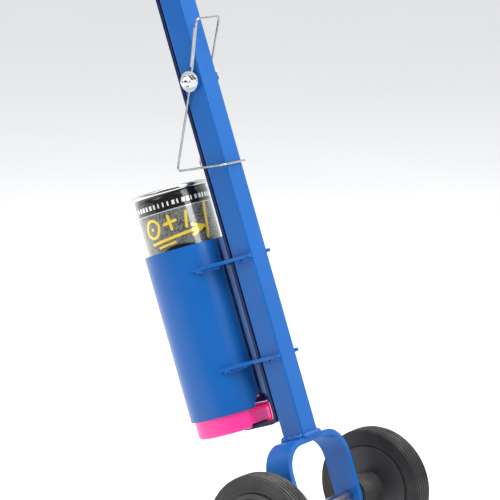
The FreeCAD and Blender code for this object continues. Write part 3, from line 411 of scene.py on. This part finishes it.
# Tyres have a rounded tread with fine ribs all the way round.
tyreMake = {"ribs": 7, "ribDepth": 1.1, "ribSpan": 0.86, "ribEnd": 0.9, "ribFade": 0.06,
            "ribWiden": 0.25, "around": 180, "acrossSteps": 161, "wallSteps": 16, "wallBulge": 0.48,
            "wallSlope": 0.8, "wallInset": 0.5, "shoulder": 3.0, "beadAt": 0.72, "beadWide": 0.06,
            "beadTall": 0.5}


def makeTyre(side):
    node = side + "_tyre"
    make = tyreMake
    low, high = reach(node)
    outer, inner = high[2], reach(side + "_wheel_hub")[1][2]
    near, far = low[1], high[1]
    # The tread is a superellipse across the width; ribs are a cosine whose bottoms are widened.
    t = np.linspace(-1, 1, make["acrossSteps"])
    shoulder = make["shoulder"] * (1 - (1 - np.abs(t) ** 5.0) ** (1 / 2.2))
    groove = np.clip(make["ribWiden"] - np.cos(math.pi * t * make["ribSpan"] * make["ribs"]), 0, 1)
    fade = np.clip((make["ribEnd"] - np.abs(t)) / make["ribFade"], 0, 1)
    radius = outer - shoulder - make["ribDepth"] * groove * fade
    across = near + (far - near) * (t + 1) / 2
    # The sidewalls come back to the rim with a slight hollow and a bead ring.
    s = np.linspace(0, 1, make["wallSteps"])[1:]
    wallRadius = (outer - make["shoulder"]) * (1 - s) + inner * s
    dip = np.clip(make["wallSlope"] * s - make["wallBulge"] * np.sin(math.pi * s), 0, None)
    beadRing = make["beadTall"] * np.exp(-((s - make["beadAt"]) / make["beadWide"]) ** 2)
    inset = dip - beadRing + make["wallInset"]
    farWall = np.stack([wallRadius, far - inset], 1)
    nearWall = np.stack([wallRadius, near + inset], 1)[::-1]
    across = np.clip(across, near + make["wallInset"], far - make["wallInset"])
    profile = np.concatenate([np.stack([radius, across], 1), farWall, nearWall])
    grid = turned(profile, axle, left, fore, make["around"])
    makePiece(side + "_ribbed_tyre", [(grid, True, True)], tyreRubber, side + "_wheel",
              [node], 60)


for side in ("left", "right"):
    makeTyre(side)
print("tyres made")

# The hand grip is a moulded sleeve with a flange, rings along it and a rounded end.
gripMake = {"rings": 14, "ringDepth": 0.9, "around": 72, "perRing": 9, "bore": 0.15, "body": 16.0,
            "ringsFrom": 12, "swell": 0.5, "flangeThick": 4, "flangeEnd": 5.5, "flangeRound": 1.2,
            "neckEnd": 8, "tailFrom": 9, "tailTaper": 3, "tailRound": 2.0}


def makeGripSleeve():
    make, body = gripMake, gripMake["body"]
    low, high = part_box("rubber_grip")
    tubeLow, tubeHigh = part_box("grip_tube")
    outer, start, end = (high.z - low.z) / 2 / mm, -high.x / mm, -low.x / mm
    bore = (tubeHigh.y - tubeLow.y) / 2 / mm + make["bore"]
    # Rings: the radius dips by a raised cosine between two rings, on a body that swells slightly.
    t = np.linspace(0, 1, make["rings"] * make["perRing"])
    first, last = start + make["ringsFrom"], end - make["ringsFrom"]
    dips = np.clip(np.cos(2 * math.pi * t * make["rings"]) * 1.6 - 0.6, 0, 1)
    swell = make["swell"] * (np.sin(math.pi * t) - 1)
    ringed = np.stack([body + swell - make["ringDepth"] * dips, first + (last - first) * t], 1)
    head = roundCorners([(bore, start), (outer, start), (outer, start + make["flangeThick"]),
                         (body, start + make["flangeEnd"]), (body, start + make["neckEnd"])],
                        make["flangeRound"])[2:]
    taper = make["tailTaper"]
    tail = roundCorners([(body - 0.4, end - make["tailFrom"]), (body - 0.2, end - taper),
                         (body - taper, end), (bore, end)], make["tailRound"])
    profile = np.concatenate([head, ringed, tail])
    centre = np.array([0.0, (low.y + high.y) / 2, (low.z + high.z) / 2])
    grid = turned(profile, centre, np.array([-1.0, 0, 0]), np.array([0, 0, 1.0]), make["around"])
    makePiece("ribbed_grip", [(grid, True, True)], gripRubber, "frame",
              ["rubber_grip"], 50)


makeGripSleeve()
print("grip made")

# The return spring is a close coil with a hook at each end, stretched by the pull bar.
springMake = {"wire": 0.55, "turns": 28, "radius": 3.4, "perTurn": 20, "sides": 8, "pitch": 1.16,
              "hook": 3.1, "hookSteps": 30, "legSteps": 14}


def makeSpring():
    low, high = reach("return_spring")
    wire, radius, hook, turns = (springMake[key] for key in ("wire", "radius", "hook", "turns"))
    side = (low[1] + high[1]) / 2
    back = (low[0] + high[0]) / 2
    lowEye, highEye = low[2] + hook + wire, high[2] - hook - wire
    middle = (lowEye + highEye) / 2
    half = turns * springMake["pitch"] / 2
    # Coil: radius at the turning angle, rising steadily; its profile's normal points outwards.
    angle = np.linspace(0, 2 * math.pi * turns, turns * springMake["perTurn"])
    rise = np.linspace(-half, half, len(angle)) + middle
    out = np.stack([np.cos(angle), np.sin(angle), np.zeros_like(angle)], 1)
    coil = np.array([back, side, 0]) + radius * out + rise[:, None] * [0, 0, 1.0]
    grids = [(swept(fromTube(coil), wire * mm, springMake["sides"], out @ tubeAxes), False, True)]
    # Hooks: five eighths of a ring round the pin, then a leg in to the coil's edge.
    for eye, way in ((lowEye, 1), (highEye, -1)):
        bend = np.linspace(-0.75 * math.pi, 0.5 * math.pi, springMake["hookSteps"])
        ring = np.stack([back + hook * np.cos(bend), np.full(len(bend), side),
                         eye + way * hook * np.sin(bend)], 1)
        s = np.linspace(0, 1, springMake["legSteps"])[1:, None]
        leg = ring[-1] + (np.array([back + radius, side, middle - way * half]) - ring[-1]) * s
        leg[:, 0] = back + radius * (1 - np.cos(math.pi * s[:, 0] / 2))
        path = np.concatenate([ring, leg])
        grids.append((swept(fromTube(path), wire * mm, springMake["sides"], left), False, True))
    spring = makePiece("coil_spring", grids, zincSteel, None, ["return_spring"], 60)
    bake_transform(spring)


makeSpring()
print("spring made")

# Weld beads lie under the paint, on the bracket plates and round the tube's foot.
weldMake = {"ripple": 0.10, "pitch": 2.4, "sides": 12, "step": 0.25, "wobble": 0.12, "endFade": 1.6,
            "plateRun": (12, 47), "runRadius": 2.2, "blobs": (-9, 1), "blobLong": 7.5,
            "blobRadius": 2.4, "under": 0.4, "footRadius": 3.2, "footRise": 0.6, "sideLong": 10.5,
            "faceLong": 12.5, "offHolder": 0.5, "offPlate": 0.3, "offSide": 0.6, "offFace": 0.2,
            "runSteps": 40}


def bead(path, towards, radius):
    # A round bead whose radius ripples once a pitch and shrinks to nothing at both ends.
    path, towards = np.asarray(path, float), np.asarray(towards, float)
    steps = np.linalg.norm(np.diff(path, axis=0), axis=1)
    along = np.concatenate([[0], np.cumsum(steps)])
    even = np.linspace(0, along[-1], max(int(along[-1] / weldMake["step"]), 12))
    path = np.stack([np.interp(even, along, path[:, k]) for k in range(3)], 1)
    ripple = 1 + weldMake["ripple"] * np.sin(2 * math.pi * even / weldMake["pitch"])
    ends = np.sqrt(np.clip(np.minimum(even, along[-1] - even) / weldMake["endFade"], 0.02, 1))
    wobble = weldMake["wobble"] * np.sin(even * 1.7)[:, None] * towards
    tube = swept(fromTube(path + wobble), radius * ripple * ends * mm, weldMake["sides"],
                 towards @ tubeAxes)
    return tube, False, True


def makeWelds():
    make = weldMake
    half = reach("handle_tube")[1][1]
    holderLow, holderHigh = reach("can_holder")
    radius = (holderHigh[1] - holderLow[1]) / 2 + make["offHolder"]
    holderBack = (holderLow[0] + holderHigh[0]) / 2
    grids = []
    for plate in ("lower_bracket_plate", "upper_bracket_plate"):
        rise = reach(plate)[0][2] - make["under"]
        for sign in (1, -1):  # a run under each plate on the holder, and two blobs on the tube
            angle = np.radians(np.linspace(*make["plateRun"], make["runSteps"])) * sign
            arc = np.stack([holderBack + radius * np.cos(angle), radius * np.sin(angle),
                            np.full(len(angle), rise)], 1)
            grids.append(bead(arc, (0, 0, 1), make["runRadius"]))
            side = sign * (half + make["offPlate"])
            for start in make["blobs"]:
                edge = [(x, side, rise) for x in (start, start + make["blobLong"])]
                grids.append(bead(edge, (0, 0, 1), make["blobRadius"]))
    foot = reach("axle_arch")[1][2] + make["footRise"]
    long, wide = make["sideLong"], make["faceLong"]
    for sign in (1, -1):  # heavy beads round the tube's foot
        side, face = sign * (half + make["offSide"]), sign * (half + make["offFace"])
        for run in ([(-long, side, foot), (long, side, foot)],
                    [(face, -wide, foot), (face, wide, foot)]):
            grids.append(bead(run, (0, 0, 1), make["footRadius"]))
    makePiece("weld_beads", grids, bluePaint, "frame", (), 60)


makeWelds()
print("welds made")

# The can is drawn upside down, as it stands in the holder: its neck is low and its domed base with
# the rolled seam is high. The label's middle faces the camera, so the camera's numbers come first.
canMake = {"around": 144, "labelTall": 185.0, "seamRoll": 1.9, "wall": 0.9, "neckRadius": 15.6,
           "coneRadius": 28.0, "coneRise": 4, "shoulderRise": 12, "cornerRound": 1.6,
           "domeDrop": 3.4, "domeDeep": 5.2, "domeSteps": 24, "seamSteps": 22}
cameraSet = {"azimuth": 36.4, "elevation": 10.75, "distance": 1.8, "aimRise": 250.0, "lens": 150.7,
             "shiftX": 0.0156, "shiftY": -0.0434}


def backOf(azimuth, elevation):  # the direction from the object towards a viewer
    a, e = math.radians(azimuth), math.radians(elevation)
    return np.array([math.sin(a) * math.cos(e), -math.cos(a) * math.cos(e), math.sin(e)])


def canFront():  # the side of the can that the label's middle faces
    toward = tubeAxes @ backOf(cameraSet["azimuth"], cameraSet["elevation"])
    flat = np.array([toward[0], toward[1], 0])
    return (flat / np.linalg.norm(flat)) @ tubeAxes


def makeCan(label):
    low, high = reach("can_shell")
    back, radius = (low[0] + high[0]) / 2, (high[1] - low[1]) / 2
    baseLow, baseHigh = reach("can_base")
    seamTop, seamRadius = baseHigh[2], (baseHigh[1] - baseLow[1]) / 2
    make, neck, top = canMake, low[2], high[2]
    cone, shoulder = neck + make["coneRise"], neck + make["shoulderRise"]
    throat, flare, wall = make["neckRadius"], make["coneRadius"], make["wall"]
    centre = fromTube([back, 0, 0])
    # The shell's outside from the neck up, then its inside back down.
    outside = roundCorners([(throat, neck), (throat + 1.4, neck + 0.8), (flare, cone),
                            (radius - 0.6, shoulder - 1.6), (radius, shoulder), (radius, top - 4),
                            (radius - 0.7, top - 1.6), (radius - 0.2, top), (radius - 1.2, top),
                            (radius - wall, shoulder + 1), (flare - 0.8, cone + wall),
                            (throat, neck + 0.8)], make["cornerRound"], 4)
    front = canFront()
    grid = turned(outside, centre, up, -front, make["around"])
    # The label map: across is the turn round the can from its back, up is the height.
    rows, columns = len(outside), make["around"]
    u = np.arange(columns + 1) / columns
    v = (outside[:, 1] - neck) / make["labelTall"]
    nextV = np.roll(v, -1)
    i, j = np.meshgrid(np.arange(rows), np.arange(columns), indexing="ij")
    uv = np.stack([np.stack([u[j], v[i]], -1), np.stack([u[j + 1], v[i]], -1),
                   np.stack([u[j + 1], nextV[i]], -1), np.stack([u[j], nextV[i]], -1)], 2)
    makePiece("printed_can", [(grid, True, True)], label, "can", ["can_shell"], 40,
              uv.reshape(-1, 2))
    # The base: its outer wall, a rolled seam, and a dome that dips as a power of a sine, then its
    # underside.
    roll = make["seamRoll"]
    bend = np.linspace(-0.5 * math.pi, 1.5 * math.pi, make["seamSteps"])
    seam = [seamRadius - roll, seamTop - roll] + roll * np.stack([np.cos(bend), np.sin(bend)], 1)
    inner = seamRadius - 2 * roll
    s = np.linspace(0, 1, make["domeSteps"])
    dip = make["domeDrop"] + make["domeDeep"] * np.sin(0.5 * math.pi * s) ** 0.9
    dome = np.stack([inner * (1 - s), seamTop - dip], 1)
    outerWall = roundCorners([(seamRadius - 0.5, top - 0.4), (seamRadius, top + 0.6),
                              (seamRadius, seamTop - roll)], 0.3, 3)[:-2]
    profile = np.concatenate([[(radius - 1.0, top - 0.4)], outerWall, seam[5:18],
                              [(inner, seamTop - make["domeDrop"] + 1)], dome,
                              [(0.0, dome[-1, 1] - 0.8), (inner * 0.6, seamTop - 9.0),
                               (inner - 0.6, seamTop - 5.0)]])
    baseGrid = turned(profile, centre, up, -front, make["around"])
    makePiece("can_dome", [(baseGrid, True, True)], tinplate, "can", ["can_base"], 50)


def strokeGroup():
    # A sprayed line: how near a point is to a segment, or to a ring of radius Bend round it, with a
    # rough edge from noise.
    tree, given, out = newGroup("sprayedLine", {"Point": [0.0, 0.0, 0.0], "Start": [0.0, 0.0, 0.0],
                                                "End": [1.0, 0.0, 0.0], "Width": 1.3, "Bend": 0.0},
                                {"Mask": "Float"})
    reachA = vectorCalc(tree, "SUBTRACT", given["Point"], given["Start"])
    span = vectorCalc(tree, "SUBTRACT", given["End"], given["Start"])
    share = calc(tree, "DIVIDE", vectorCalc(tree, "DOT_PRODUCT", reachA, span),
                 vectorCalc(tree, "DOT_PRODUCT", span, span))
    share = put(tree, "Clamp", {"Value": share}).outputs[0]
    scaled = put(tree, "VectorMath", {0: span, "Scale": share}, operation="SCALE").outputs[0]
    away = vectorCalc(tree, "LENGTH", vectorCalc(tree, "SUBTRACT", reachA, scaled))
    away = calc(tree, "ABSOLUTE", calc(tree, "SUBTRACT", away, given["Bend"]))
    ragged = noise(tree, given["Point"], 0.9, 3.0, 0.6)
    away = calc(tree, "ADD", away, calc(tree, "MULTIPLY", calc(tree, "SUBTRACT", ragged, 0.5), 1.3))
    edge = calc(tree, "SUBTRACT", given["Width"], 0.5)
    mask = put(tree, "MapRange", {"Value": away, "From Min": given["Width"], "From Max": edge},
               interpolation_type="SMOOTHSTEP").outputs[0]
    tree.links.new(mask, out["Mask"])
    return tree


# Heights and widths on the label are millimetres, with the heights along the tube's up.
labelMake = {"black": (0.008, 0.008, 0.009), "grey": (0.12, 0.13, 0.115), "pale": (0.36, 0.37, 0.35),
             "hole": (0.05, 0.052, 0.05), "haze": (0.26, 0.27, 0.25), "yellow": (0.88, 0.63, 0.06),
             "white": (0.82, 0.82, 0.80), "ruleGrey": (0.5, 0.51, 0.5), "bandLow": 283.5,
             "bandHigh": 306.0, "dashRise": 288.4, "dashPitch": 4.4, "dashHalf": (2.1, 1.8),
             "ruleDrop": 0.9, "ruleHalf": (0.5, 0.35), "markRise": 270.0,
             "swooshAt": (-4.0, 241.0, 0.0), "swooshHalf": (21.0, 11.0)}
# Sprayed marks, each as start across and up, end across and up, width and ring radius: a ring with
# a dot, a plus, a short bar, a tall bar, an arrow with its two barbs, and an underline.
sprayedMarks = [(-25, -1, -24, 1, 1.5, 6.6), (-25, 0, -24.4, 0, 1.6, 0), (-12, 1.5, -1, 3, 1.5, 0),
                (-7, 8, -6, -4, 1.5, 0), (7, -5, 9.5, 8, 1.5, 0), (25, -18, 31, 13, 1.9, 0),
                (-28, -13, 24, -8, 1.5, 0), (24, -8, 12, -4.5, 1.4, 0), (24, -8, 11, -13.5, 1.4, 0),
                (-22, -17, -6, -15.5, 1.3, 0)]


def makeLabel(neck, radius):
    make = labelMake
    material, tree, shader = shaderOf("printed_tinplate")
    flat = put(tree, "SeparateXYZ", {0: put(tree, "UVMap", uv_map="label").outputs[0]})
    x = calc(tree, "MULTIPLY", calc(tree, "SUBTRACT", flat.outputs[0], 0.5), 2 * math.pi * radius)
    z = calc(tree, "MULTIPLY_ADD", flat.outputs[1], canMake["labelTall"], neck)
    point = put(tree, "CombineXYZ", {0: x, 1: z}).outputs[0]
    # Road surface: grey specks and dark holes over a clouded ground.
    specks = noise(tree, point, 1.1, 4.0, 0.8)
    stones = put(tree, "TexVoronoi", {"Vector": point, "Scale": 0.85}).outputs["Distance"]
    ground = blendColour(tree, between(tree, specks, 0.42, 0.62), make["grey"], make["pale"])
    ground = blendColour(tree, between(tree, stones, 0.42, 0.62), ground, make["hole"])
    cloud = between(tree, noise(tree, point, 0.05, 2.0), 0.4, 0.65, 0.0, 0.5)
    ground = blendColour(tree, cloud, ground, make["haze"])
    rise = make["markRise"]
    group = strokeGroup()
    paint = None
    for startX, startRise, endX, endRise, width, bend in sprayedMarks:
        start, end = (startX, rise + startRise, 0), (endX, rise + endRise, 0)
        mask = useGroup(tree, group, Point=point, Start=start, End=end, Width=width, Bend=bend)["Mask"]
        paint = mask if paint is None else calc(tree, "MAXIMUM", paint, mask)
    colour = blendColour(tree, paint, ground, make["yellow"])
    # A dark swoosh low on the label and the black band under the rim.
    wide, tall = make["swooshHalf"]
    away = vectorCalc(tree, "LENGTH", vectorCalc(
        tree, "MULTIPLY", vectorCalc(tree, "SUBTRACT", point, make["swooshAt"]),
        (1 / wide, 1 / tall, 0.0)))
    colour = blendColour(tree, between(tree, away, 1.02, 0.98), colour, make["black"])
    band = calc(tree, "MULTIPLY", between(tree, z, make["bandLow"] - 0.2, make["bandLow"]),
                between(tree, z, make["bandHigh"] + 0.2, make["bandHigh"]))
    colour = blendColour(tree, band, colour, make["black"])
    # Plain dashes on the band: a repeat whose share of ink changes from cell to cell.
    along = calc(tree, "DIVIDE", x, make["dashPitch"])
    cell = put(tree, "TexWhiteNoise", {"W": calc(tree, "FLOOR", along)}, noise_dimensions="1D")
    share = between(tree, cell.outputs[0], 0.0, 1.0, 0.3, 0.75)
    fromDash = calc(tree, "ABSOLUTE", calc(tree, "SUBTRACT", z, make["dashRise"]))
    dash = calc(tree, "MULTIPLY", calc(tree, "LESS_THAN", calc(tree, "FRACT", along), share),
                between(tree, fromDash, *make["dashHalf"]))
    colour = blendColour(tree, dash, colour, make["white"])
    fromRule = calc(tree, "ABSOLUTE", calc(tree, "SUBTRACT", z, make["bandLow"] - make["ruleDrop"]))
    colour = blendColour(tree, between(tree, fromRule, *make["ruleHalf"]), colour, make["ruleGrey"])
    dusty = useGroup(tree, dustFilm, Colour=colour, Amount=0.05, Roughness=0.2)
    tree.links.new(dusty["Colour"], shader.inputs["Base Color"])
    tree.links.new(dusty["Roughness"], shader.inputs["Roughness"])
    grain = useGroup(tree, fineGrain, Wave=140.0, Tooth=1800.0, Share=0.2)["Height"]
    tree.links.new(put(tree, "Bump", {"Height": grain, "Strength": 0.12, "Distance": 0.0001}).outputs[0],
                   shader.inputs["Normal"])
    for key, value in {"Metallic": 0.25, "Coat Weight": 0.8, "Coat Roughness": 0.06}.items():
        shader.inputs[key].default_value = value
    return material


canLow, canHigh = reach("can_shell")
makeCan(makeLabel(canLow[2], (canHigh[1] - canLow[1]) / 2))
print("can made")

floorMake = {"half": 6.0, "lift": 0.24, "colour": (0.93, 0.93, 0.93), "shade": (0.90, 0.90, 0.905)}


def makeFloor():
    low = reach("left_tyre")[0][2]
    rise = axle[2] + low * mm
    h = floorMake["half"]
    mesh = bpy.data.meshes.new("floor")
    mesh.from_pydata([(-h, -h, rise), (h, -h, rise), (h, h, rise), (-h, h, rise)], [], [(0, 1, 2, 3)])
    material, tree, shader = shaderOf("pale_floor")
    where = put(tree, "TexCoord").outputs["Object"]
    cloud = between(tree, noise(tree, where, 3.0, 4.0), 0.3, 0.7)
    tree.links.new(blendColour(tree, cloud, floorMake["colour"], floorMake["shade"]),
                   shader.inputs["Base Color"])
    shader.inputs["Roughness"].default_value = 0.6
    shader.inputs["Emission Color"].default_value = (1, 1, 1, 1)
    shader.inputs["Emission Strength"].default_value = floorMake["lift"]
    mesh.materials.append(material)
    floor = bpy.data.objects.new("floor", mesh)
    bpy.context.scene.collection.objects.link(floor)


# A box stands turn and elevation degrees round from the camera, in front of a point on the tube.
studioSet = {"dim": 0.15, "bright": 0.95, "dimUntil": -0.45, "brightFrom": 0.6, "aimFore": -40,
             "sky": (0.97, 0.985, 1.0, 1)}
softBoxes = {
    "left_card": {"turn": -119, "elevation": -4, "distance": 0.8, "wide": 0.85, "tall": 0.5,
                  "power": 0.6, "aimRise": 130.0},
    "left_panel": {"turn": -60, "elevation": 38, "distance": 1.6, "wide": 0.9, "tall": 1.2,
                   "power": 6.5},
    "right_box": {"turn": 49, "elevation": 21, "distance": 1.6, "wide": 0.8, "tall": 1.2,
                  "power": 16.0, "aimRise": 250.0, "lift": 0.6},
    "top_box": {"turn": -20, "elevation": 75, "distance": 1.7, "wide": 1.4, "tall": 1.4,
                "power": 22.0},
    "front_panel": {"turn": 82, "elevation": 55, "distance": 1.6, "wide": 1.0, "tall": 1.0,
                    "power": 13.0},
}


def softBox(name, turn, elevation, distance, wide, tall, power, aimRise=230.0, lift=0.0):
    aim = fromTube([studioSet["aimFore"], 0, aimRise])
    place = aim + backOf(cameraSet["azimuth"] + turn, elevation) * distance + [0, 0, lift]
    light = bpy.data.lights.new(name, "AREA")
    light.shape, light.size, light.size_y, light.energy = "RECTANGLE", wide, tall, power
    lamp = bpy.data.objects.new(name, light)
    lamp.location = place
    lamp.rotation_euler = Vector(place - aim).to_track_quat("Z", "Y").to_euler()
    bpy.context.scene.collection.objects.link(lamp)


def makeStudio():
    scene = bpy.context.scene
    world = bpy.data.worlds.new("studio")
    world.use_nodes = True
    # The sweep behind the object is white and the room towards the camera's side is dim.
    tree = world.node_tree
    away = -backOf(cameraSet["azimuth"], 0)
    facing = vectorCalc(tree, "DOT_PRODUCT", put(tree, "TexCoord").outputs["Generated"], tuple(away))
    glow = between(tree, facing, studioSet["dimUntil"], studioSet["brightFrom"],
                   studioSet["dim"], studioSet["bright"])
    seen = put(tree, "LightPath").outputs["Is Camera Ray"]
    strength = calc(tree, "MAXIMUM", seen, glow)
    tree.links.new(strength, tree.nodes["Background"].inputs["Strength"])
    tree.nodes["Background"].inputs["Color"].default_value = studioSet["sky"]
    scene.world = world
    for name, values in softBoxes.items():
        softBox(name, **values)
    scene.view_settings.view_transform = "Standard"
    lens = bpy.data.cameras.new("camera")
    lens.lens, lens.sensor_width = cameraSet["lens"], 36.0
    lens.shift_x, lens.shift_y = cameraSet["shiftX"], cameraSet["shiftY"]
    back = backOf(cameraSet["azimuth"], cameraSet["elevation"])
    camera = bpy.data.objects.new("camera", lens)
    camera.location = fromTube([0, 0, cameraSet["aimRise"]]) + back * cameraSet["distance"]
    camera.rotation_euler = Vector(back).to_track_quat("Z", "Y").to_euler()
    scene.collection.objects.link(camera)
    scene.camera = camera


makeFloor()
makeStudio()
print("studio made")
